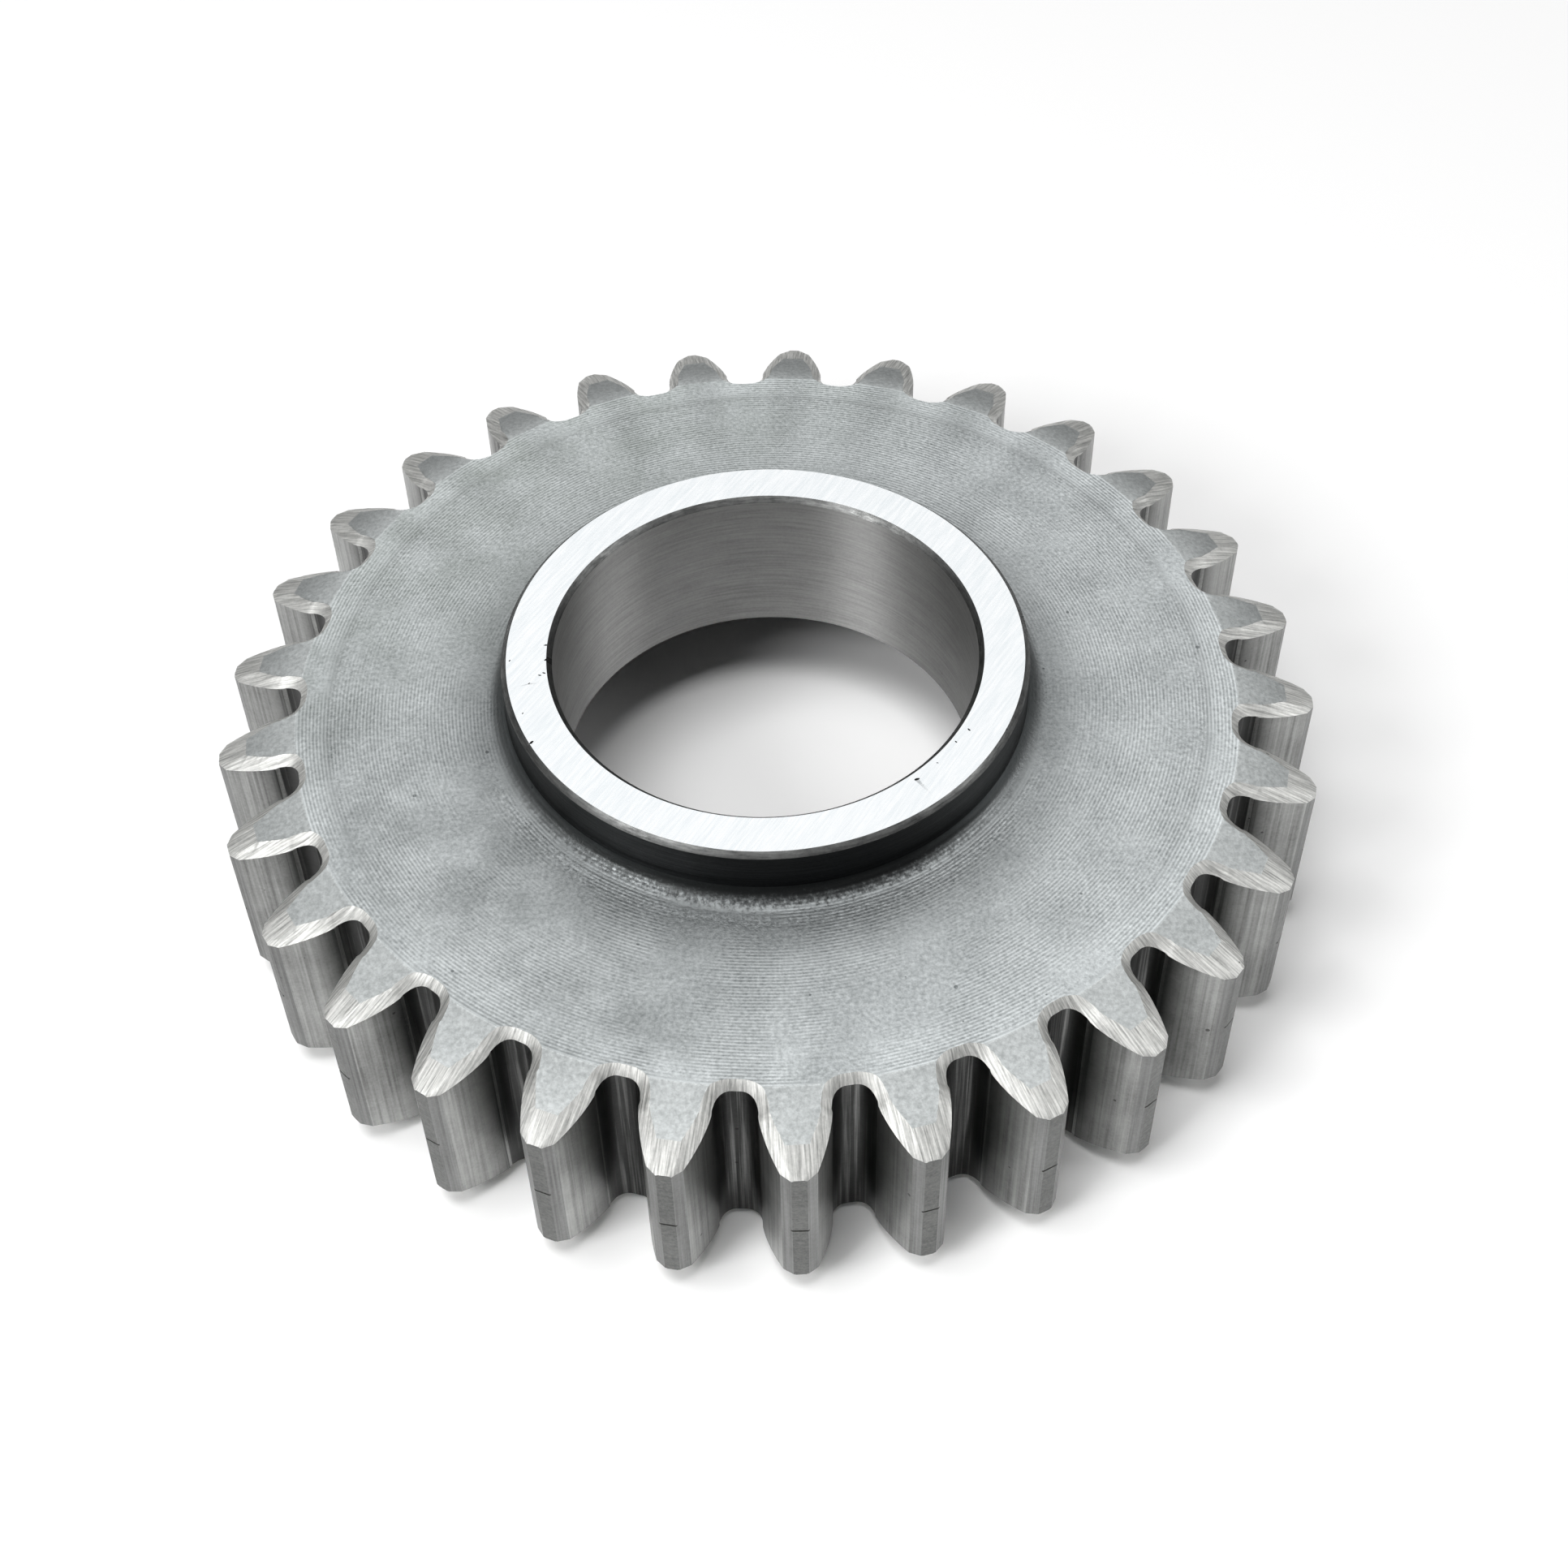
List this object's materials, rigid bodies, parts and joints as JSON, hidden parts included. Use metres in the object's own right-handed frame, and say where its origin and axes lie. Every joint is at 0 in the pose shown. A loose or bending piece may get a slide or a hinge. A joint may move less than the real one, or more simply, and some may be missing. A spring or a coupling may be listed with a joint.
{
  "type": "pinion gear",
  "caption": "Spur pinion gear in one piece: involute teeth round a flat web, a raised hub ring round a plain bore, and a shallow recess in the underside.",
  "frame": {"origin": "centre of the underside of the rim, on the bore axis", "axes": "+Z along the bore axis towards the hub ring, +X through the middle of a tooth"},
  "size_m": [0.0928, 0.093, 0.0239],
  "materials": {
    "steel": "turned and hobbed, with a ground hub face"
  },
  "bodies": {
    "root": {"pinion_gear": "steel"}
  },
  "joints": []
}
